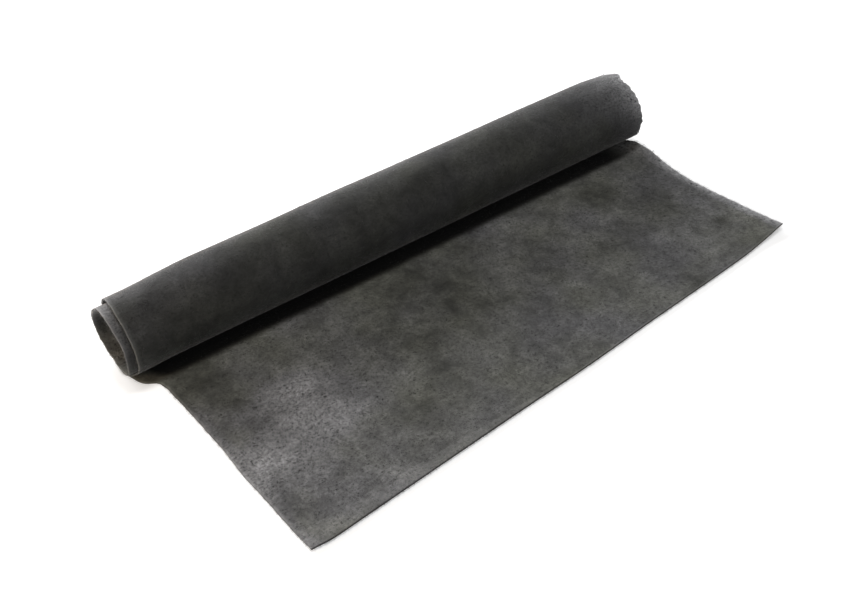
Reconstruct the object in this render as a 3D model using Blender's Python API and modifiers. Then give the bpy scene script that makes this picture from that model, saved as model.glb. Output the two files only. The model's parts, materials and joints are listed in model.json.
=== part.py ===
"""A cut length of needle-punched geotextile, wound in two loose turns with its free end laid out flat.

Metres, +Z up. X runs along the roll, the free lap runs towards -Y, and the floor is z = 0.
The wound turns and the cloth pressed flat under them are one piece. The free lap is divided into
strips across its width. Each strip turns about a line on the cloth's upper face, and together they
wind the lap on to the roll as its outermost turn.
"""

import math

import bmesh
import bpy
from mathutils import Vector

# The sheet
sheet_width = 1.0
sheet_thickness = 0.003

# The wound turns, from the cloth on the floor inwards
roll_radius = 0.0676
turn_gap = 0.0012
turns = 1.98
facets_per_turn = 72
pressed_flat = 0.0004

# The turns have slid along the roll. The outer turn's left edge is the zero of X while the part is
# drawn: the cloth leaves the floor to the right of it, and the inner turn stands out to the left.
# Each slide happens between two places along the winding, counted in turns from the floor.
floor_to_outer_slide = 0.022
floor_to_outer_shares = (0, 0.6)
outer_to_inner_slide = 0.0165
outer_to_inner_shares = (0.9, 1.25)

# The free lap, along its left edge, which isn't square to the roll
lap_length = 0.4655
lap_skew = math.radians(4.48)

# The strips of the lap, and how much looser the lap winds on than the turns inside it
lap_strips = 19
bend_gap = 0.0003
wound_on_slack = 0.003

# How often the angle of the bends is corrected, which takes it to the last digit
corrections = 20

# A cutting block reaches this far past what it is cut from
overrun = 0.05

# Lightness of the felt, inside the roll and out on the lap
wound_shade = 0.060
lap_shade = 0.075

full_circle = 2 * math.pi
turn_pitch = sheet_thickness + turn_gap
axis_height = roll_radius - pressed_flat
across = sheet_width / math.cos(lap_skew)

# The lap's four corners are set by its left edge, its skew and the sheet's width
along_lap = Vector((math.sin(lap_skew), -math.cos(lap_skew), 0))
along_front = Vector((math.cos(lap_skew), math.sin(lap_skew), 0))
left_root = Vector((floor_to_outer_slide, 0, 0))
front_left = left_root + lap_length * along_lap
front_right = front_left + sheet_width * along_front


def eased(value, limits):
    """0 below the first limit and 1 above the second, with a smooth start and end between them."""
    share = min(max((value - limits[0]) / (limits[1] - limits[0]), 0), 1)
    return share**2 * (3 - 2 * share)


def left_edge(turn):
    """The x of the wound sheet's left edge, that many turns in from the floor."""
    outwards = floor_to_outer_slide * (1 - eased(turn, floor_to_outer_shares))
    return outwards - outer_to_inner_slide * eased(turn, outer_to_inner_shares)


def outer_radius(turn):
    return roll_radius - turn_pitch * turn


def outer_face(turn):
    """A point (y, z) of the wound sheet's outer face. Whole turns are at the floor, under the axis."""
    angle = full_circle * turn
    height = axis_height - outer_radius(turn) * math.cos(angle)
    return Vector((outer_radius(turn) * math.sin(angle), height))


# The bends lie where a lap wound on to the roll would turn, side by side round it
wound_on_pitch = turn_pitch + wound_on_slack


def side_distance(side, angle):
    """From the roll's axis to the inner face of one flat side of the lap wound on with that bend."""
    return axis_height - sheet_thickness + wound_on_pitch * side * angle / full_circle


def strip_edges(angle):
    """The y of each bend, from the roll outwards, and of the last strip's far edge."""
    first = side_distance(1, angle) - side_distance(0, angle) * math.cos(angle)
    lines = [-first / math.sin(angle)]
    for side in range(1, lap_strips + 1):
        lines.append(lines[-1] - 2 * side_distance(side, angle) * math.tan(angle / 2))
    return lines


def angle_that_reaches(front):
    """The bend that makes the strips as long as the lap, from a first guess of one turn in all."""
    angle = full_circle / lap_strips
    for _ in range(corrections):
        angle *= front / strip_edges(angle)[-1]
    return angle


bend_angle = angle_that_reaches(front_left.y)
edges = strip_edges(bend_angle)


def felt(name, shade):
    """Dark polypropylene felt, matt all over. Shade is its lightness, and it leans a little warm."""
    material = bpy.data.materials.new(name)
    material.use_nodes = True
    shader = material.node_tree.nodes["Principled BSDF"]
    shader.inputs["Base Color"].default_value = (shade, shade * 0.97, shade * 0.92, 1)
    shader.inputs["Roughness"].default_value = 0.95
    shader.inputs["Metallic"].default_value = 0.0
    return material


def add_piece(name, mesh_data, collection, parent, place, material):
    piece = bpy.data.objects.new(name, mesh_data)
    piece.parent = parent
    piece.location = place
    mesh_data.materials.append(material)
    collection.objects.link(piece)
    return piece


def mesh_from(shape, name):
    mesh_data = bpy.data.meshes.new(name)
    shape.to_mesh(mesh_data)
    shape.free()
    return mesh_data


def wound_profile():
    """(turn, y, z) along the outer face, from the first bend to the inner end of the sheet."""
    flat_half = math.sqrt(roll_radius**2 - axis_height**2)
    flat_end = math.acos(axis_height / roll_radius) / full_circle
    steps = math.floor(turns * facets_per_turn)
    stations = [step / facets_per_turn for step in range(1, steps + 1)]
    stations = [turn for turn in stations if turn > flat_end] + [turns]
    pressed = [(0, edges[0] + bend_gap / 2, 0), (flat_end, flat_half, 0)]
    return pressed + [(turn, *outer_face(turn)) for turn in stations]


def add_wound_turns(collection, parent):
    """The profile is drawn as a chain of edges, drawn out along the roll and given its thickness."""
    shape = bmesh.new()
    ends = []
    for turn, y, z in wound_profile():
        edge = left_edge(turn) if turn else left_root.x - y * math.tan(lap_skew)
        ends.append(shape.verts.new((edge, y, z)))
    chain = [shape.edges.new(pair) for pair in zip(ends, ends[1:])]
    drawn = bmesh.ops.extrude_edge_only(shape, edges=chain)["geom"]
    far_ends = [item for item in drawn if isinstance(item, bmesh.types.BMVert)]
    bmesh.ops.translate(shape, verts=far_ends, vec=(across, 0, 0))
    shape.normal_update()
    pressed = min(shape.faces, key=lambda face: face.calc_center_median().z)
    if pressed.normal.z > 0:
        bmesh.ops.reverse_faces(shape, faces=shape.faces)
    name = "wound_turns"
    material = felt(name + "_felt", wound_shade)
    piece = add_piece(name, mesh_from(shape, name), collection, parent, Vector(), material)
    thicken = piece.modifiers.new("thickness", "SOLIDIFY")
    thicken.thickness = sheet_thickness
    thicken.offset = -1
    thicken.use_even_offset = True
    piece.data.shade_smooth()
    piece.data.set_sharp_from_angle(angle=math.radians(30))
    return piece


def cut_away(shape, point, outward):
    """Cuts off what lies on the outward side of a plane, and closes the cut."""
    everything = shape.verts[:] + shape.edges[:] + shape.faces[:]
    result = bmesh.ops.bisect_plane(
        shape, geom=everything, plane_co=point, plane_no=outward, clear_outer=True
    )
    cut = [item for item in result["geom_cut"] if isinstance(item, bmesh.types.BMEdge)]
    if cut:
        bmesh.ops.edgeloop_fill(shape, edges=cut)


def add_strip(number, collection, parent, parent_place):
    """One strip of the lap, from its own bend line to the next one, or to the front edge."""
    near = edges[number - 1]
    far = front_left.y - overrun if number == lap_strips else edges[number] + bend_gap / 2
    place = Vector((left_root.x + across / 2, near, sheet_thickness))
    block = Vector((across + 2 * lap_length, near - bend_gap / 2 - far, sheet_thickness))
    middle = Vector((place.x, far + block.y / 2, sheet_thickness / 2))
    shape = bmesh.new()
    bmesh.ops.create_cube(shape, size=1)
    bmesh.ops.scale(shape, verts=shape.verts, vec=block)
    bmesh.ops.translate(shape, verts=shape.verts, vec=middle)
    cut_away(shape, left_root, -along_front)
    cut_away(shape, left_root + Vector((across, 0, 0)), along_front)
    cut_away(shape, front_left, along_lap)
    bmesh.ops.recalc_face_normals(shape, faces=shape.faces)
    bmesh.ops.translate(shape, verts=shape.verts, vec=-place)
    name = f"lap_strip_{number:02d}"
    material = felt(name + "_felt", wound_shade + (lap_shade - wound_shade) * number / lap_strips)
    strip = add_piece(name, mesh_from(shape, name), collection, parent, place - parent_place, material)
    return strip, place


def least_gap_between_turns():
    """Measured on the profile's points: from each to the cloth at least half a turn further out."""
    profile = wound_profile()
    points = [Vector((y, z)) for _, y, z in profile]
    least = math.inf
    for index, point in enumerate(points):
        for a, b, (turn, _, _) in zip(points, points[1:], profile):
            if profile[index][0] - turn < 1 / 2:
                break
            run = b - a
            inward = Vector((-run.y, run.x)).normalized()
            share = min(max((point - a).dot(run) / run.length_squared, 0), 1)
            foot = a + share * run
            least = min(least, (point - foot).dot(inward) - sheet_thickness)
    return least


def build():
    for existing in list(bpy.data.objects):
        bpy.data.objects.remove(existing, do_unlink=True)
    collection = bpy.data.collections.new("geotextile_roll")
    bpy.context.scene.collection.children.link(collection)

    # The frame's origin is under the middle of the whole part, on the floor
    back = outer_radius(1 / 4)
    middle_x = (left_edge(turns) + front_right.x) / 2
    middle_y = (back + front_left.y) / 2
    roll_frame = bpy.data.objects.new("roll_frame", None)
    roll_frame.location = (-middle_x, -middle_y, 0)
    collection.objects.link(roll_frame)

    add_wound_turns(collection, roll_frame)
    parent, parent_place = roll_frame, Vector()
    for number in range(1, lap_strips + 1):
        parent, parent_place = add_strip(number, collection, parent, parent_place)

    first_side = side_distance(1, bend_angle) - outer_radius(1 - bend_angle / full_circle)
    print(f"each of the lap's {lap_strips} bends winds {math.degrees(bend_angle):.2f} degrees")
    print(f"least gap between turns: {least_gap_between_turns() * 1000:.2f} mm")
    print(f"gap between the roll and the first strip wound on to it: {first_side * 1000:.2f} mm")


build()
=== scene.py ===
import json
import math
import random

import bmesh
import bpy
from mathutils import Euler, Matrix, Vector, noise
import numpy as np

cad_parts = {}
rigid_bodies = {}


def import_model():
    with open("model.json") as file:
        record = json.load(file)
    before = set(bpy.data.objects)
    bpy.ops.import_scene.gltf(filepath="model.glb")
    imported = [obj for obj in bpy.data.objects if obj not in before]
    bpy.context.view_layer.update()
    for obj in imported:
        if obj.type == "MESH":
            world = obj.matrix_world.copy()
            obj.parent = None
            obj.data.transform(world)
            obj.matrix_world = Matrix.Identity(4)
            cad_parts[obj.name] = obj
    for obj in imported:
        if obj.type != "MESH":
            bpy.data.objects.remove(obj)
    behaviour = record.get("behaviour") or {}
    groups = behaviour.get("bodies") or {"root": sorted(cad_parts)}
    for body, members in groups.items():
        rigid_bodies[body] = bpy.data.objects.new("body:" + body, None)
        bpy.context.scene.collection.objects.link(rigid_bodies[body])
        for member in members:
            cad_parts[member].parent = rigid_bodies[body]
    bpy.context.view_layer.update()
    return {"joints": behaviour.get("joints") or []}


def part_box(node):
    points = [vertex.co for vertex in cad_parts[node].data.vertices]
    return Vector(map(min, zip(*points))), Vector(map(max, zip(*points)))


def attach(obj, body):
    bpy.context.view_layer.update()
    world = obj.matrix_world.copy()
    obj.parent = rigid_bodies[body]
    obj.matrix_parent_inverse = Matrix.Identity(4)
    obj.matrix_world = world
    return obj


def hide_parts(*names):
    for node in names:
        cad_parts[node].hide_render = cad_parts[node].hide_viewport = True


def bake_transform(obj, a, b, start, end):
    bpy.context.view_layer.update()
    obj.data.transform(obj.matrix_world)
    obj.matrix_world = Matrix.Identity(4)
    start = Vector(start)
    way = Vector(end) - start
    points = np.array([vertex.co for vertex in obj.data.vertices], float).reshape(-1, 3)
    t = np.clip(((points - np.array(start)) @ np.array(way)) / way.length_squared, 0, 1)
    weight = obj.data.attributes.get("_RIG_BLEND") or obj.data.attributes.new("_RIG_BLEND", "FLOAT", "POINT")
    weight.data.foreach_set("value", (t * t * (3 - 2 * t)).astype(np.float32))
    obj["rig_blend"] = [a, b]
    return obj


# Geotextile roll: one felt sheet, two loose turns of it wound up and the rest laid out as a lap.
# Metres, Z up. X runs along the roll, the lap runs towards -Y, the floor is z = 0.
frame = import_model()
seed = 7
random.seed(seed)
print("frame loaded")

mm = 0.001

camera = {
    "place": (-0.7938, -1.0348, 1.2904),
    "aim": (-0.0588, 0.0462, 0),
    "roll": -1.28,  # degrees, a slight tilt of the horizon
    "lens": 47.2,
    "sensor": 36,
}


def addCamera():
    lens = bpy.data.cameras.new("camera")
    lens.lens = camera["lens"]
    lens.sensor_width = camera["sensor"]
    eye = bpy.data.objects.new("camera", lens)
    bpy.context.scene.collection.objects.link(eye)
    sight = Vector(camera["aim"]) - Vector(camera["place"])
    turn = sight.to_track_quat("-Z", "Y") @ Euler((0, 0, math.radians(camera["roll"]))).to_quaternion()
    eye.location = camera["place"]
    eye.rotation_euler = turn.to_euler()
    bpy.context.scene.camera = eye


# Shader maths: a number or a colour on its way from one node to the next
class Signal:
    def __init__(self, tree, socket=None):
        self.tree = tree
        self.socket = socket

    # Any node: its settings first, then the values or links of its sockets
    def node(self, kind, settings, inputs, output=0):
        made = self.tree.nodes.new(kind)
        for name, value in settings.items():
            setattr(made, name, value)
        for name, value in inputs.items():
            if isinstance(value, Signal):
                self.tree.links.new(value.socket, made.inputs[name])
            else:
                made.inputs[name].default_value = value
        return Signal(self.tree, made.outputs[output])

    def maths(self, operation, first, second=0.0):
        return self.node("ShaderNodeMath", {"operation": operation}, {0: first, 1: second})

    def __add__(self, other):
        return self.maths("ADD", self, other)

    def __sub__(self, other):
        return self.maths("SUBTRACT", self, other)

    def __rsub__(self, other):
        return self.maths("SUBTRACT", other, self)

    def __mul__(self, other):
        return self.maths("MULTIPLY", self, other)

    def __abs__(self):
        return self.maths("ABSOLUTE", self)

    def clamped(self):
        return self.node("ShaderNodeClamp", {}, {0: self})

    def larger(self, other):
        return self.maths("MAXIMUM", self, other)

    # A Mix node's colours are its sockets 6 and 7
    def mixed(self, low, high):
        return self.node("ShaderNodeMix", {"data_type": "RGBA"}, {"Factor": self, 6: low, 7: high}, 2)

    __radd__ = __add__
    __rmul__ = __mul__


stage = {
    "floorSize": 4.4,
    "floorShade": 0.8,
    "floorGlow": 0.5,  # seen by the camera and in reflections only: a white floor that keeps its shadow
    "fill": 0.08,  # strength of the light from all round
    "fillShade": (1.0, 0.99, 0.98, 1),
    "backdrop": 1.0,  # seen as the floor's glow is, and white at 1
    "white": (1, 1, 1, 1),
}
lamps = {
    "top": {"place": (0.0, 0.25, 2.4), "aim": (0, 0, 0), "size": 0.6, "power": 26},
    "back": {"place": (-0.1, 2.5, 0.95), "aim": (0, 0, 0.05), "size": 3.8, "height": 1.0, "power": 135},
    "front": {"place": (-0.6, -3.0, 0.85), "aim": (0, 0.1, 0.05), "size": 1.6, "power": 14},
    "left": {
        "place": (-1.6, 0.1, 0.55),
        "aim": (-0.5, 0.2, 0.04),
        "size": 0.4,
        "power": 6,
        "shade": (1.0, 0.8, 0.6),
    },
}


# 1 for what the camera sees, directly, in a reflection or through glass, and 0 for the light itself
def seenByCamera(start):
    seen = None
    for ray in ("Is Camera Ray", "Is Glossy Ray", "Is Transmission Ray"):
        one = start.node("ShaderNodeLightPath", {}, {}, ray)
        seen = one if seen is None else seen.larger(one)
    return seen


def addFloor():
    floor = bmesh.new()
    bmesh.ops.create_grid(floor, x_segments=1, y_segments=1, size=stage["floorSize"] / 2)
    sheetData = bpy.data.meshes.new("floor")
    floor.to_mesh(sheetData)
    floor.free()
    piece = bpy.data.objects.new("floor", sheetData)
    bpy.context.scene.collection.objects.link(piece)
    material = bpy.data.materials.new("paleFloor")
    material.use_nodes = True
    material.node_tree.nodes.clear()
    start = Signal(material.node_tree)
    matt = start.node("ShaderNodeBsdfDiffuse", {}, {"Color": (*[stage["floorShade"]] * 3, 1)})
    strength = seenByCamera(start) * stage["floorGlow"]
    glow = start.node("ShaderNodeEmission", {}, {"Color": stage["white"], "Strength": strength})
    both = start.node("ShaderNodeAddShader", {}, {0: matt, 1: glow})
    start.node("ShaderNodeOutputMaterial", {}, {"Surface": both}, slice(0))
    sheetData.materials.append(material)


def addLight(name, values):
    lamp = bpy.data.lights.new(name, "AREA")
    lamp.shape = "RECTANGLE" if "height" in values else "DISK"
    lamp.size = values["size"]
    lamp.size_y = values.get("height", values["size"])
    lamp.energy = values["power"]
    if "shade" in values:
        lamp.color = values["shade"]
    piece = bpy.data.objects.new(name, lamp)
    piece.location = values["place"]
    piece.rotation_euler = (Vector(values["aim"]) - piece.location).to_track_quat("-Z", "Y").to_euler()
    bpy.context.scene.collection.objects.link(piece)


def addWorld():
    world = bpy.data.worlds.new("studio")
    bpy.context.scene.world = world
    world.use_nodes = True
    world.node_tree.nodes.clear()
    start = Signal(world.node_tree)
    background = "ShaderNodeBackground"
    fill = start.node(background, {}, {"Color": stage["fillShade"], "Strength": stage["fill"]})
    white = start.node(background, {}, {"Color": stage["white"], "Strength": stage["backdrop"]})
    both = start.node("ShaderNodeMixShader", {}, {0: seenByCamera(start), 1: fill, 2: white})
    start.node("ShaderNodeOutputWorld", {}, {"Surface": both}, slice(0))
    bpy.context.scene.view_settings.view_transform = "Standard"


addCamera()
addFloor()
for lampName, lampValues in lamps.items():
    addLight(lampName, lampValues)
addWorld()
print("camera, floor and lights made")

# Sizes are lengths on the cloth, and strengths are shares of its lightness.
felt = {
    "outerShade": 0.033,  # the side that shows on the roll
    "innerShade": 0.078,  # the fluffier side, which shows on the lap and inside the roll
    "sideLines": (0.35, 0.65),  # between them, in shares of the thickness, one side becomes the other
    "clouds": {"size": 75 * mm, "detail": 3.0, "distortion": 0.4, "strength": 1.2},
    "patches": {"size": 24 * mm, "detail": 4.0, "distortion": 0.6, "strength": 1.0},
    "grain": {"size": 4.6 * mm, "detail": 2.0, "distortion": 0.0, "strength": 1.15},
    "wisps": {
        "length": 20 * mm,
        "width": 4.5 * mm,
        "turns": (0.3, 1.35, 2.2, 2.9),  # the ways in which the fibres lie, in radians
        "distortion": 1.2,
        "sharpness": 11,
        "middle": 0.46,  # wisps above it are paler than the felt between them
        "strength": 0.8,
    },
    "fineBase": 0.45,  # the grain and wisps are this strong on black felt
    "finePerShade": 8,  # and gain as much as this times the shade on paler felt
    "fineInDark": (0.1, 0.4),  # added for the dark places, and the least they keep
    "darkest": 0.3,  # the least share of lightness that clouds or grain leave
    "tint": {"size": 127.5 * mm, "detail": 2.0, "distortion": 0.0},
    "tintContrast": 2.4,
    "tintStart": 0.75,
    "tintByNap": 1.5,  # felt that the nap attribute makes paler, painted light included, is cooler
    "warm": (0.995, 1.01, 0.88, 1),
    "cool": (0.985, 0.985, 1.01, 1),
    "relief": 0.5 * mm,
    "reliefStrength": 0.8,
    "reliefShares": {"wisps": 0.6, "grain": 0.5, "patches": 0.7},
    "roughness": 0.93,
    "specular": 0.15,
    "sheen": 0.5,
    "sheenRoughness": 0.25,
    "sharpAngle": 50,  # degrees, past which an edge isn't shaded smooth
}
noiseMiddle = 0.5


# Needle-punched felt: clouds, patches and crossing wisps of fibre that follow the cloth
def feltMaterial(name):
    material = bpy.data.materials.new(name)
    material.use_nodes = True
    shader = material.node_tree.nodes["Principled BSDF"]
    start = Signal(material.node_tree)
    place = start.node("ShaderNodeAttribute", {"attribute_name": "clothPlace"}, {}, "Vector")
    nap = start.node("ShaderNodeAttribute", {"attribute_name": "nap"}, {}, "Fac")
    cut = start.node("ShaderNodeAttribute", {"attribute_name": "cut"}, {}, "Fac")
    shade = start.node("ShaderNodeAttribute", {"attribute_name": "shade"}, {}, "Fac")

    def cloud(values):
        inputs = {
            "Vector": place,
            "Scale": 1 / values["size"],
            "Detail": values["detail"],
            "Distortion": values["distortion"],
        }
        return start.node("ShaderNodeTexNoise", {}, inputs, "Fac")

    fibres = felt["wisps"]
    stretch = (1 / fibres["length"], 1 / fibres["width"], 1 / fibres["width"])
    wisps = None
    for turn in fibres["turns"]:
        turned = start.node("ShaderNodeMapping", {}, {0: place, "Rotation": (0, 0, turn)})
        drawn = start.node("ShaderNodeMapping", {}, {0: turned, "Scale": stretch})
        inputs = {0: drawn, "Scale": 1.0, "Distortion": fibres["distortion"]}
        lines = start.node("ShaderNodeTexNoise", {}, inputs, "Fac")
        ridge = (1 - abs(lines - noiseMiddle) * fibres["sharpness"]).clamped()
        wisps = ridge if wisps is None else wisps.larger(ridge)
    grain, clouds, patches = cloud(felt["grain"]), cloud(felt["clouds"]), cloud(felt["patches"])

    # The nap, shade and cut attributes carry painted light and shade as well as the felt's own tone
    broad = (clouds - noiseMiddle) * felt["clouds"]["strength"]
    broad = broad + (patches - noiseMiddle) * felt["patches"]["strength"]
    broad = (broad + nap + 1).larger(felt["darkest"])
    fine = (wisps - fibres["middle"]) * fibres["strength"]
    fine = fine + (grain - noiseMiddle) * felt["grain"]["strength"]
    fine = fine * (shade * felt["finePerShade"] + felt["fineBase"])
    added, least = felt["fineInDark"]
    level = (fine * (broad + added).larger(least) + 1).larger(felt["darkest"]) * broad * shade + cut
    drift = cloud(felt["tint"]) * felt["tintContrast"] - felt["tintStart"] - nap * felt["tintByNap"]
    tint = drift.clamped().mixed(felt["cool"], felt["warm"])
    grey = start.node("ShaderNodeCombineColor", {}, {0: level, 1: level, 2: level})
    multiply = {"data_type": "RGBA", "blend_type": "MULTIPLY"}
    colour = start.node("ShaderNodeMix", multiply, {"Factor": 1.0, 6: grey, 7: tint}, 2)
    shares = felt["reliefShares"]
    height = wisps * shares["wisps"] + grain * shares["grain"] + patches * shares["patches"]
    relief = {"Strength": felt["reliefStrength"], "Distance": felt["relief"], "Height": height}
    bump = start.node("ShaderNodeBump", {}, relief, "Normal")
    material.node_tree.links.new(colour.socket, shader.inputs["Base Color"])
    material.node_tree.links.new(bump.socket, shader.inputs["Normal"])
    shader.inputs["Roughness"].default_value = felt["roughness"]
    shader.inputs["Sheen Weight"].default_value = felt["sheen"]
    shader.inputs["Sheen Roughness"].default_value = felt["sheenRoughness"]
    shader.inputs["Specular IOR Level"].default_value = felt["specular"]
    return material


# The sheet. Along is the distance from where it meets the floor under the roll's axis: less than
# zero out on the lap, more than zero up the back of the roll and on round it. Share is the share of
# the sheet's width from its left edge.
woundLow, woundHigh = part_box("wound_turns")
stripLow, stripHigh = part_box("lap_strip_19")
sheet = {
    "width": 1.0,
    "thickness": stripHigh.z - stripLow.z,
    "pitch": 4.2 * mm,  # from one turn to the next
    "turns": 1.98,
    "pressed": 0.4 * mm,  # how deep the roll sinks on its flat
    "innerSlide": 16.5 * mm,  # how far the inner turn stands out of the outer one
    "lapMesh": (4.6 * mm, 3.7 * mm),  # the mesh's faces, across the sheet and along it
    "rollMesh": (7.36 * mm, 4.07 * mm),
    "rims": (0.5 * mm, 1.1 * mm, 2.2 * mm),  # extra lines beside each cut edge
    "joinFace": 0.6 * mm,  # and beside each join of two strips, so that the shading runs on there
    "rimRound": 1.0 * mm,  # from this far in, a cut edge is rounded
    "rimShare": 0.7,  # and this much of the thickness is left at the cut
    "sameLine": 1e-7,  # a cut this near to a line of the mesh takes that line
}
rollRadius = (woundHigh.z + sheet["pressed"] + sheet["pitch"] / 2) / 2
axisHeight = rollRadius - sheet["pressed"]
axisY = woundHigh.y - (rollRadius - sheet["pitch"] / 4)
leftX = woundLow.x + sheet["innerSlide"]
circumference = 2 * math.pi * rollRadius
innerEnd = sheet["turns"] * circumference

# The cut edges as they lie: (along, from the outer turn's left rim) for the two long ones
leftEdge = (
    (-0.470, 0.0600), (-0.413, 0.0540), (-0.354, 0.0490), (-0.297, 0.0435), (-0.245, 0.0420),
    (-0.164, 0.0352), (-0.101, 0.0290), (-0.086, 0.0275), (-0.072, 0.0238), (-0.064, 0.0190),
    (-0.058, 0.0080), (-0.049, 0.0000), (-0.038, -0.0055), (-0.020, -0.0100), (0.020, -0.0090),
    (0.080, 0.0000), (0.130, 0.0018), (0.155, 0.0015), (0.180, 0.0004), (0.235, -0.0005),
    (0.265, 0.0006), (0.310, 0.0008), (0.340, 0.0000), (0.353, -0.0008), (0.362, -0.0022),
    (0.370, -0.0052), (0.378, -0.0090), (0.388, -0.0125), (0.400, -0.0145), (0.435, -0.0155),
    (0.460, -0.0173), (0.490, -0.0190), (0.520, -0.0195), (0.610, -0.0165), (0.660, -0.0155),
    (0.700, -0.0135), (0.725, -0.0130), (0.760, -0.0150), (0.850, -0.0160),
)
rightEdge = (
    (-0.470, 1.0790), (-0.376, 1.0612), (-0.336, 1.0567), (-0.290, 1.0495), (-0.240, 1.0380),
    (-0.190, 1.0280), (-0.145, 1.0255), (-0.100, 1.0225), (-0.056, 1.0185), (0.000, 1.0080),
    (0.100, 1.0060), (0.178, 1.0060), (0.192, 1.0150), (0.202, 1.0160), (0.216, 1.0085),
    (0.260, 1.0130), (0.340, 1.0160), (0.385, 1.0200), (0.405, 1.0120), (0.440, 0.9940),
    (0.850, 0.9870),
)
# The front edge: (share, along)
frontEdge = (
    (-0.05, -0.4620), (0.00, -0.4600), (0.03, -0.4615), (0.08, -0.4580), (0.165, -0.4515),
    (0.39, -0.4350), (0.516, -0.4265), (0.654, -0.4135), (0.80, -0.4015), (0.90, -0.3920),
    (1.00, -0.3785), (1.05, -0.3725),
)


# A smooth curve through listed points, read at one value
def through(points, value):
    value = min(max(value, points[0][0]), points[-1][0])
    index = 0
    while index < len(points) - 2 and points[index + 1][0] < value:
        index += 1
    (start, low), (end, high) = points[index], points[index + 1]
    before = points[max(index - 1, 0)]
    after = points[min(index + 2, len(points) - 1)]
    span = end - start
    share = (value - start) / span
    leave = (high - before[1]) / (end - before[0]) * span
    arrive = (after[1] - low) / (after[0] - start) * span
    return (
        low * (1 + 2 * share) * (1 - share) ** 2
        + high * share**2 * (3 - 2 * share)
        + leave * share * (1 - share) ** 2
        - arrive * share**2 * (1 - share)
    )


# 0 at the start and 1 at the end, with a smooth way between them. The start may be the larger.
def eased(value, start, end):
    share = min(max((value - start) / (end - start), 0), 1)
    return share**2 * (3 - 2 * share)


def clothNoise(x, y, size, seed):
    return noise.noise(Vector((x / size, y / size, seed)))


ragged = {
    "left": 0.7 * mm,  # how unevenly the edges are cut
    "lapRight": 0.8 * mm,
    "rollRight": 2.4 * mm,
    "rollLines": (0, 0.1),  # between them the lap's right edge becomes the roll's
    "size": 8 * mm,
    "fineSize": 2.96 * mm,  # finer nicks in the right edge
    "fineShare": 0.7,
    "reach": 0.03,  # share of the width over which it fades out
    "seeds": (5.5, 8.5, 3.5),  # left, right and fine
}


def xAt(share, along):
    leftSeed, rightSeed, fineSeed = ragged["seeds"]
    left = through(leftEdge, along)
    x = leftX + left + share * (through(rightEdge, along) - left)
    fromLeft = max(1 - share / ragged["reach"], 0)
    fromRight = max(1 - (1 - share) / ragged["reach"], 0)
    x += ragged["left"] * clothNoise(along, 0, ragged["size"], leftSeed) * fromLeft
    onRoll = eased(along, *ragged["rollLines"])
    rough = ragged["lapRight"] + (ragged["rollRight"] - ragged["lapRight"]) * onRoll
    wander = clothNoise(along, 0, ragged["size"], rightSeed)
    wander += ragged["fineShare"] * clothNoise(along, 0, ragged["fineSize"], fineSeed)
    return x + rough * wander * fromRight


# Lines are two places along the sheet, or its distances from the front edge, and shares two shares
# of its width. What lies between them rises smoothly from the first to the second.
lap = {
    "cornerLift": 6.5 * mm,  # the right front corner
    "cornerShares": (0.88, 1.02),
    "cornerLines": (0.10, 0),
    "cornerCurl": 1.5,  # the more, the further out it begins to rise
    "tipLift": 1.5 * mm,  # and its tip stands up further
    "tipShares": (0.955, 1.02),
    "tipLines": (0.045, 0),
    "hump": 9.5 * mm,  # the right edge beside the roll's end
    "humpShares": (0.976, 1.0),
    "humpNear": (-0.012, -0.05),
    "humpFar": (-0.15, -0.075),
    "frontLift": 1.9 * mm,
    "frontLines": (0.03, 0),
    "waves": ((0.9 * mm, 0.21), (0.5 * mm, 0.09), (0.22 * mm, 0.03)),  # (height, length)
    "waveLevel": 0.25,  # the more, the less of the lap lies flat on the floor
    "waveSeeds": 3.1,  # between the waves, so that they don't match
    "settled": (-0.012, -0.06),  # pressed flat under the roll
}


# How high the lap's underside stands off the floor
def lapLift(share, along):
    ahead = along - through(frontEdge, share)
    corner = eased(share, *lap["cornerShares"]) * eased(ahead, *lap["cornerLines"])
    tip = eased(share, *lap["tipShares"]) * eased(ahead, *lap["tipLines"])
    hump = eased(share, *lap["humpShares"]) * eased(along, *lap["humpNear"]) * eased(along, *lap["humpFar"])
    rise = lap["cornerLift"] * corner ** lap["cornerCurl"] + lap["tipLift"] * tip + lap["hump"] * hump
    rise += lap["frontLift"] * eased(ahead, *lap["frontLines"])
    for number, (height, length) in enumerate(lap["waves"]):
        wave = clothNoise(share, along, length, number * lap["waveSeeds"])
        rise += height * max(wave + lap["waveLevel"], 0)
    return rise * eased(along, *lap["settled"])


# Places are metres along the roll from the outer turn's left rim. Heights are -1 at the roll's foot,
# 0 level with its axis and 1 at its top.
wound = {
    "swell": 0.5 * mm,  # looseness of the turns, in and out
    "swellSize": 0.11,
    "swellRound": 0.8,  # the larger, the more swells there are round the roll
    "swellHeights": (-0.95, -0.5),  # none at the foot
    "endSag": 3.6 * mm,  # the right end of the roll droops at the top
    "endSagPlaces": (0.95, 1.01),
    "endSagHeights": (0.1, 1.0),
    "leftSag": 6.5 * mm,  # and the left end
    "leftSagPlaces": (0.16, 0.01),
    "innerSag": 3.9 * mm,  # and more so the inner turn there
    "innerSagPlaces": (0.08, -0.004),
    "innerSagTurns": (1.05, 1.3),
    "rise": 1.1 * mm,  # between them it stands a little proud
    "riseStart": (0.25, 0.45),
    "riseEnd": (1.0, 0.92),
    "sideHeights": (-0.3, 0.7),  # where the left end's sag and this rise set in
    "foot": 1.6 * mm,  # and its lower front bulges, more so at the ends
    "footLeft": 3.5 * mm,
    "footLeftPlaces": (0.07, 0.01),
    "footRight": 2.2 * mm,
    "footRightPlaces": (0.95, 1.0),
    "footAt": 312,  # degrees round from the foot by the back
    "footSpread": 28,
    "flatTurn": 0.1,  # this far round, the cloth is kept from sinking into the floor
}


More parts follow.
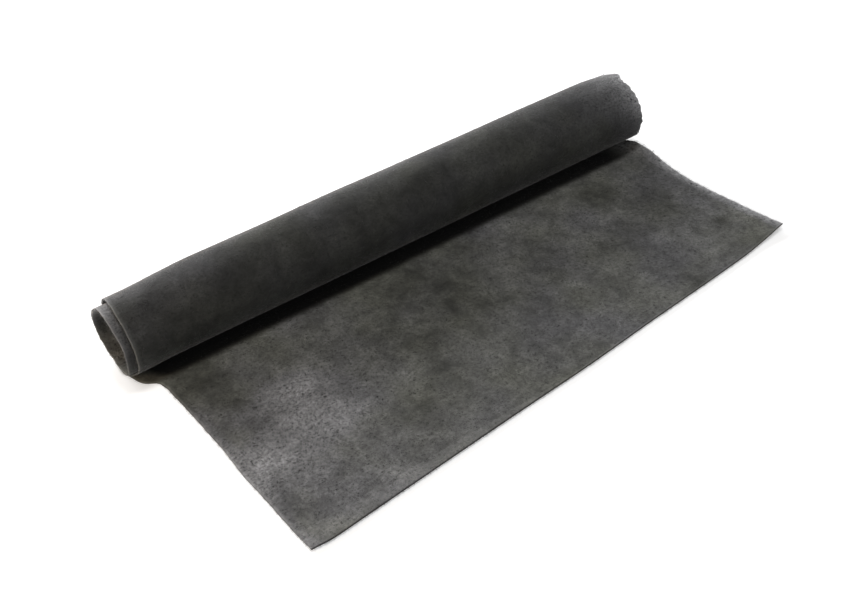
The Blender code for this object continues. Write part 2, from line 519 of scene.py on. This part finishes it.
# How far the turns stand out from a true spiral
def woundSwell(x, angle, turn):
    around = Vector((
        x / wound["swellSize"],
        math.cos(angle) * wound["swellRound"],
        math.sin(angle) * wound["swellRound"],
    ))
    place, height = x - leftX, -math.cos(angle)
    swell = wound["swell"] * noise.noise(around) * eased(height, *wound["swellHeights"])
    sag = wound["endSag"] * eased(place, *wound["endSagPlaces"]) * eased(height, *wound["endSagHeights"])
    leftSag = wound["leftSag"] * eased(place, *wound["leftSagPlaces"])
    innerSag = eased(place, *wound["innerSagPlaces"]) * eased(turn, *wound["innerSagTurns"])
    leftSag += wound["innerSag"] * innerSag
    rise = wound["rise"] * eased(place, *wound["riseStart"]) * eased(place, *wound["riseEnd"])
    foot = wound["foot"] + (wound["footLeft"] - wound["foot"]) * eased(place, *wound["footLeftPlaces"])
    foot += (wound["footRight"] - wound["foot"]) * eased(place, *wound["footRightPlaces"])
    away = (math.degrees(angle) % 360 - wound["footAt"]) / wound["footSpread"]
    foot *= math.exp(-(away**2))
    return swell - sag + foot + (rise - leftSag) * eased(height, *wound["sideHeights"])


# From the flat sheet (share, along, depth from the outer or lower face) to where it lies
def layOnFloor(point):
    share, along, depth = point
    return Vector((xAt(share, along), axisY + along, depth + lapLift(share, along)))


def layOnRoll(point):
    share, along, depth = point
    x = xAt(share, along)
    if along <= 0:
        return Vector((x, axisY + along, depth))
    turn = along / circumference
    angle = 2 * math.pi * turn
    radius = rollRadius - sheet["pitch"] * turn + woundSwell(x, angle, turn)
    height = axisHeight - radius * math.cos(angle)
    if turn < wound["flatTurn"]:
        height = max(height, 0)
    outer = Vector((x, axisY + radius * math.sin(angle), height))
    return outer + depth * Vector((0, -math.sin(angle), math.cos(angle)))


strands = {
    "thickness": 0.22 * mm,
    "tip": 0.4,  # share of the thickness left at the tip
    "paleness": 0.03,
    "perMetre": 1100,  # along a cut edge
    "moreAtRight": 1.8,  # times as many at the lap's right edge
    "length": (1.2 * mm, 4.0 * mm),
    "longLength": (2 * mm, 6.5 * mm),  # at the right edge
    "depths": (0.2, 0.8),  # shares of the thickness at which they leave the cut
    "rooted": 0.25,  # share of the length inside the cloth
    "bentAt": 0.5,  # share of the length at which they bend
    "spread": 0.45,  # how far they point away from straight out
    "bend": 0.2,
    "tipBend": 0.6,
    "perSquareMetre": 2400,  # on the face
    "faceShares": (0.005, 0.995),
    "faceLength": (6 * mm, 16 * mm),
    "faceRise": (0.1 * mm, 0.7 * mm),
    "faceBend": 0.25,
    "faceSunk": 0.15 * mm,  # how deep their ends go
    "faceBends": ((0.35, 1.0), (0.7, 0.7)),  # (share of the length, share of the rise)
    "fromFront": 4 * mm,  # none on the face nearer to the front edge
    "fromFoot": 0.02,  # nor to the roll's foot
}


def addStrands(shape, paths, layers):
    curve = bpy.data.curves.new("strands", "CURVE")
    curve.dimensions = "3D"
    curve.bevel_depth = strands["thickness"] / 2
    curve.bevel_resolution = 0
    for path in paths:
        spline = curve.splines.new("POLY")
        spline.points.add(len(path) - 1)
        for point, place in zip(spline.points, path):
            point.co = (*place, 1)
        spline.points[-1].radius = strands["tip"]
    holder = bpy.data.objects.new("strands", curve)
    bpy.context.scene.collection.objects.link(holder)
    drawn = bpy.data.meshes.new_from_object(holder.evaluated_get(bpy.context.evaluated_depsgraph_get()))
    bpy.data.objects.remove(holder)
    bpy.data.curves.remove(curve)
    before = len(shape.verts)
    shape.from_mesh(drawn)
    bpy.data.meshes.remove(drawn)
    shape.verts.ensure_lookup_table()
    added = shape.verts[before:]
    for vert in added:
        vert[layers["cut"]] = strands["paleness"]
    openEnds = {edge for vert in added for edge in vert.link_edges if edge.is_boundary}
    bmesh.ops.holes_fill(shape, edges=list(openEnds), sides=4)  # a strand is four-sided


def strandFrom(root, outward, length="length"):
    length = random.uniform(*strands[length])
    aim = Vector(outward) + Vector([random.gauss(0, strands["spread"]) for _ in range(3)])
    aim = aim.normalized() * length
    bend = Vector([random.gauss(0, strands["bend"]) * length for _ in range(3)])
    middle = root + aim * strands["bentAt"] + bend
    return [root - aim * strands["rooted"], middle, root + aim + bend * strands["tipBend"]]


def faceStrand(root, up):
    length = random.uniform(*strands["faceLength"])
    turn = random.uniform(0, 2 * math.pi)
    run = Vector((math.cos(turn), math.sin(turn), 0)) * length
    aside = Vector((-run.y, run.x, 0)) * random.gauss(0, strands["faceBend"])
    rise = Vector((0, 0, up * random.uniform(*strands["faceRise"])))
    sunk = Vector((0, 0, -up * strands["faceSunk"]))
    (early, earlyRise), (late, lateRise) = strands["faceBends"]
    bends = [root + run * early + aside + rise * earlyRise, root + run * late + aside + rise * lateRise]
    return [root + sunk, *bends, root + run + sunk]


# Strands out of the left edge (side 0) or the right edge (side 1)
def edgeStrands(count, side, start, end, length="length"):
    paths = []
    for _ in range(round(count)):
        along = random.uniform(start, end)
        depth = random.uniform(*strands["depths"]) * sheet["thickness"]
        paths.append(strandFrom(Vector((side, along, depth)), (2 * side - 1, 0, 0), length))
    return paths


# The slab is drawn flat, with a share of the width as its x and metres along as its y
def flatGrid(columns, rows):
    shape = bmesh.new()
    bmesh.ops.create_grid(shape, x_segments=columns, y_segments=rows, size=0.5)
    bmesh.ops.translate(shape, verts=shape.verts, vec=(0.5, 0.5, 0))
    return shape


def cutLine(shape, place, normal, **clear):
    everything = shape.verts[:] + shape.edges[:] + shape.faces[:]
    same = sheet["sameLine"]
    bmesh.ops.bisect_plane(shape, geom=everything, plane_co=place, plane_no=normal, dist=same, **clear)


def addRimLines(shape, lengthNow):
    for line in sheet["rims"]:
        for share in (line / sheet["width"], 1 - line / sheet["width"]):
            cutLine(shape, (share, 0, 0), (1, 0, 0))
        cutLine(shape, (0, 1 - line / lengthNow, 0), (0, 1, 0))


# How much paler the felt is towards a cut edge, partly its frayed fibres and partly a painted highlight
# where the cut catches the light: (distance from the cut, added lightness)
woundRims = ((0, 0.09), (0.5 * mm, 0.12), (1.1 * mm, 0.09), (2.2 * mm, 0.04), (3.5 * mm, 0), (4.5 * mm, 0))
lapRims = ((0, 0), (0.5 * mm, 0.05), (1.1 * mm, 0.08), (2.2 * mm, 0.06), (3.5 * mm, 0.01), (4.5 * mm, 0))


def thicken(shape, layers, paleness):
    flat = shape.faces[:]
    bmesh.ops.solidify(shape, geom=flat, thickness=sheet["thickness"])
    lowest = min(vert.co.z for vert in shape.verts)
    bmesh.ops.translate(shape, verts=shape.verts, vec=(0, 0, -lowest))
    bmesh.ops.recalc_face_normals(shape, faces=shape.faces)
    middle = sheet["thickness"] / 2
    for vert in shape.verts:
        inset = 1 - min(vert[layers["rim"]] / sheet["rimRound"], 1)
        kept = sheet["rimShare"] + (1 - sheet["rimShare"]) * math.sqrt(1 - inset**2)
        vert.co.z = middle + (vert.co.z - middle) * kept
        vert[layers["cut"]] = max(through(paleness, vert[layers["rim"]]), 0)


def finishPiece(name, shape, layers, lay, napAndPaintedLightAt, paintedLightAndShadeAt, material):
    sideLines = [line * sheet["thickness"] for line in felt["sideLines"]]
    for vert in shape.verts:
        share, along, depth = vert.co
        side = eased(depth, *sideLines)
        vert[layers["place"]] = Vector((share, along, depth))
        # Nap holds the felt's paler places and painted light; shade is the felt's tone times painted light
        # and shade
        vert[layers["nap"]] = napAndPaintedLightAt(share, along)
        shade = felt["outerShade"] + (felt["innerShade"] - felt["outerShade"]) * side
        vert[layers["shade"]] = shade * paintedLightAndShadeAt(share, along, side)
        vert.co = lay(vert.co)
    data = bpy.data.meshes.new(name)
    shape.to_mesh(data)
    shape.free()
    data.materials.append(material)
    data.shade_smooth()
    data.set_sharp_from_angle(angle=math.radians(felt["sharpAngle"]))
    piece = bpy.data.objects.new(name, data)
    bpy.context.scene.collection.objects.link(piece)
    return piece


# Rim is the distance to the nearest cut edge. The others feed the material.
def newLayers(shape):
    floats, vectors = shape.verts.layers.float, shape.verts.layers.float_vector
    return {
        "rim": floats.get("rim") or floats.new("rim"),
        "cut": floats.new("cut"),
        "nap": floats.new("nap"),
        "shade": floats.new("shade"),
        "place": vectors.new("clothPlace"),
    }


bends = sorted((joint["pos_m"][1], joint["parent"], joint["child"]) for joint in frame["joints"])[::-1]
bendLines = [bend[0] - axisY for bend in bends]
halfFirst = (bendLines[0] - bendLines[1]) / 2
joins = [bendLines[0] + halfFirst]
joins += [(a + b) / 2 for a, b in zip(bendLines, bendLines[1:])]
joins.append(2 * bendLines[-1] - joins[-1])

# Paler and darker places: (share, along, reach, how much). On the lap they are the felt's uneven tone, with
# painted shade near the roll and painted light towards its left
lapToneAndPaintedLightPatches = (
    (0.13, -0.26, 0.12, 0.85), (0.08, -0.42, 0.12, 0.15), (0.15, -0.20, 0.04, 0.45),
    (0.18, -0.40, 0.05, 0.15), (0.80, -0.19, 0.05, 0.18), (0.83, -0.27, 0.06, 0.22),
    (0.62, -0.39, 0.09, 0.15), (0.97, -0.27, 0.07, 0.15), (0.00, -0.45, 0.04, 0.15),
    (0.045, -0.09, 0.06, -0.42), (0.07, -0.165, 0.05, -0.30), (0.06, -0.235, 0.03, -0.20),
    (0.045, -0.33, 0.03, -0.20), (0.10, -0.385, 0.025, -0.20), (0.94, -0.305, 0.02, -0.25),
    (0.84, -0.13, 0.06, -0.25), (0.44, -0.12, 0.12, -0.45), (0.40, -0.28, 0.09, -0.10),
    (0.72, -0.18, 0.06, 0.15), (0.15, -0.12, 0.06, -0.10), (0.03, -0.30, 0.06, 0.70),
    (0.95, -0.08, 0.05, -0.25),
)
# On the roll: painted highlights on its top and ends, painted shade on its front, and a little of the felt's
# uneven tone
rollPaintedLightAndShadePatches = (
    (0.98, 0.22, 0.09, 1.30), (0.90, 0.28, 0.08, 0.15), (0.02, 0.24, 0.08, 0.10),
    (0.99, 0.27, 0.06, 1.20), (0.03, 0.155, 0.06, 1.00), (0.005, 0.62, 0.10, 1.80),
    (0.12, 0.22, 0.06, 0.10), (0.30, 0.33, 0.10, -0.20), (0.60, 0.33, 0.14, -0.15),
    (0.09, 0.32, 0.07, -0.30), (0.99, 0.33, 0.03, 0.30),
)
# Paler felt beside the long cut edges, partly frayed fibres and partly painted light: how much, over which
# shares and between which lines
edgeFuzzAndPaintedLight = {
    "left": {"much": 0.35, "shares": (0.022, 0), "lines": (-0.12, -0.2)},
    "right": {"much": 1.20, "shares": (0.978, 1), "lines": (-0.06, -0.14)},
    "rollRight": {"much": 1.50, "shares": (0.968, 1), "lines": (0.36, 0.3)},
}
rollTopHighlight = {"much": 0.45, "along": 0.170, "reach": 0.022}  # and a painted highlight along the top of the roll
# Painted shadow on the lap under the roll's overhang, and painted light beside the roll's right end
paintedLightAndShadeUnderRoll = {
    "lines": (-0.072, -0.056),  # painted shadow: the lap darkens towards the roll, where it lies out of the light
    "left": (0.015, 0.035),
    "right": (0.985, 0.93),
    "depth": 0.985,
    "lit": ((0.995, -0.045, 0.04, 1.5),),  # and painted light beside the roll's right end, where it catches the light
}
paintedShadeAtFrontCut = {"depth": 0.7, "lines": (1.8 * mm, 0.5 * mm)}  # and painted shade darkens the front edge at its cut
paintedLightAndShadeInMouth = {  # painted shade and painted light inside the open end
    "dark": ((0.01, 0.515, 0.035, 0.45),),
    "lit": ((0.01, 0.445, 0.035, 1.10),),
}


def patchesAt(patches, share, along):
    pale = 0.0
    for at, line, reach, strength in patches:
        away = math.hypot((share - at) / reach, (along - line) / reach)
        pale += strength * math.exp(-2 * away * away)
    return pale


def edgeFuzzAndPaintedLightAt(values, share, along):
    return values["much"] * eased(share, *values["shares"]) * eased(along, *values["lines"])


# The felt's uneven tone and pale edges, with painted shade near the roll and painted light on the lap's left
def lapNapAndPaintedLight(share, along):
    edges = edgeFuzzAndPaintedLightAt(edgeFuzzAndPaintedLight["left"], share, along) + edgeFuzzAndPaintedLightAt(edgeFuzzAndPaintedLight["right"], share, along)
    return patchesAt(lapToneAndPaintedLightPatches, share, along) + edges


# Painted shade under the roll and at the front cut, and painted light beside the roll's right end, as a
# factor on the felt's lightness. Side is 0 on the outer face and 1 on the inner one
def lapPaintedLightAndShade(share, along, side):
    dark = eased(along, *paintedLightAndShadeUnderRoll["lines"]) * eased(share, *paintedLightAndShadeUnderRoll["left"])
    dark *= eased(share, *paintedLightAndShadeUnderRoll["right"])
    change = patchesAt(paintedLightAndShadeUnderRoll["lit"], share, along) - paintedLightAndShadeUnderRoll["depth"] * dark
    front = eased(along - through(frontEdge, share), *paintedShadeAtFrontCut["lines"])
    return (1 + change * side) * (1 - paintedShadeAtFrontCut["depth"] * front)


# The pale right edge, with painted highlights on the roll's top and ends and painted shade on its front
def rollNapAndPaintedLight(share, along):
    top = rollTopHighlight["much"] * math.exp(-(((along - rollTopHighlight["along"]) / rollTopHighlight["reach"]) ** 2))
    return patchesAt(rollPaintedLightAndShadePatches, share, along) + top + edgeFuzzAndPaintedLightAt(edgeFuzzAndPaintedLight["rollRight"], share, along)


# Painted shade high inside the open end and painted light lower down, on the inner face only
def rollPaintedLightAndShade(share, along, side):
    change = patchesAt(paintedLightAndShadeInMouth["lit"], share, along) - patchesAt(paintedLightAndShadeInMouth["dark"], share, along)
    return 1 + change * side


def lapStrands():
    top = sheet["thickness"]
    longest = -through(frontEdge, 0)
    count = longest * strands["perMetre"]
    paths = edgeStrands(count, 0, through(frontEdge, 0), joins[0])
    more = count * strands["moreAtRight"]
    paths += edgeStrands(more, 1, through(frontEdge, 1), joins[0], "longLength")
    for _ in range(round(sheet["width"] * strands["perMetre"])):
        share = random.random()
        depth = random.uniform(*strands["depths"]) * top
        paths.append(strandFrom(Vector((share, through(frontEdge, share), depth)), (0, -1, 0)))
    for _ in range(round(longest * sheet["width"] * strands["perSquareMetre"])):
        share = random.uniform(*strands["faceShares"])
        along = random.uniform(through(frontEdge, share) + strands["fromFront"], joins[0])
        paths.append(faceStrand(Vector((share, along, top)), 1))
    return paths


# One piece to a strip of the frame, joined edge to edge and bent evenly from its own body to the last
def makeLap():
    material = feltMaterial("lapFelt")
    width, (across, step) = sheet["width"], sheet["lapMesh"]
    longest = joins[0] - through(frontEdge, 0)
    rest = flatGrid(round(width / across), round(longest / step))
    addRimLines(rest, longest)
    rim = rest.verts.layers.float.new("rim")
    for vert in rest.verts:
        share, down = vert.co.x, vert.co.y
        vert.co.y = joins[0] + (through(frontEdge, share) - joins[0]) * down
        vert[rim] = min(share * width, (1 - share) * width, (1 - down) * longest)
    paths = lapStrands()
    pieces = []
    for number, (_, parent, child) in enumerate(bends, 1):
        last = number == len(bends)
        strip = rest if last else rest.copy()
        if not last:
            cutLine(strip, (0, joins[number], 0), (0, -1, 0), clear_outer=True)
            cutLine(rest, (0, joins[number], 0), (0, -1, 0), clear_inner=True)
            cutLine(strip, (0, joins[number] + sheet["joinFace"], 0), (0, 1, 0))
        cutLine(strip, (0, joins[number - 1] - sheet["joinFace"], 0), (0, 1, 0))
        layers = newLayers(strip)
        area = sum(face.calc_area() for face in strip.faces)
        flatWidth = max(vert.co.x for vert in strip.verts) - min(vert.co.x for vert in strip.verts)
        flatLength = max(vert.co.y for vert in strip.verts) - min(vert.co.y for vert in strip.verts)
        thicken(strip, layers, lapRims)
        far = -math.inf if last else joins[number]
        addStrands(strip, [path for path in paths if far < path[0].y <= joins[number - 1]], layers)
        piece = finishPiece(f"lapFelt{number:02d}", strip, layers, layOnFloor, lapNapAndPaintedLight, lapPaintedLightAndShade, material)
        start = Vector((0, axisY + joins[number - 1], 0))
        end = Vector((0, axisY + joins[number], 0))
        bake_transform(piece, parent, child, start=start, end=end)
        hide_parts(f"lap_strip_{number:02d}")
        pieces.append((piece, area * width, flatWidth * width, flatLength))
    return pieces


def makeRoll():
    material = feltMaterial("woundFelt")
    width, (across, step) = sheet["width"], sheet["rollMesh"]
    longest = innerEnd - joins[0]
    shape = flatGrid(round(width / across), round(longest / step))
    addRimLines(shape, longest)
    layers = newLayers(shape)
    for vert in shape.verts:
        share, up = vert.co.x, vert.co.y
        vert.co.y = joins[0] + longest * up
        vert[layers["rim"]] = min(share * width, (1 - share) * width, (1 - up) * longest)
    area = sum(face.calc_area() for face in shape.faces)
    thicken(shape, layers, woundRims)
    count = longest * strands["perMetre"]
    paths = edgeStrands(count, 0, joins[0], innerEnd)
    paths += edgeStrands(count, 1, joins[0], innerEnd, "longLength")
    for _ in range(round(circumference * width * strands["perSquareMetre"])):
        share = random.uniform(*strands["faceShares"])
        along = random.uniform(strands["fromFoot"], circumference - strands["fromFoot"])
        paths.append(faceStrand(Vector((share, along, 0)), -1))
    addStrands(shape, paths, layers)
    piece = finishPiece("woundFelt", shape, layers, layOnRoll, rollNapAndPaintedLight, rollPaintedLightAndShade, material)
    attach(piece, "roll")
    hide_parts("wound_turns")
    return piece, area * width, longest


roll, rollArea, rollLength = makeRoll()
print("roll made", len(roll.data.vertices), round(rollArea, 3))
for piece, area, width, length in makeLap():
    print(piece.name, len(piece.data.vertices), round(area, 5), round(length, 4), round(width, 4))
    min(area, width * length)
print("lap made")
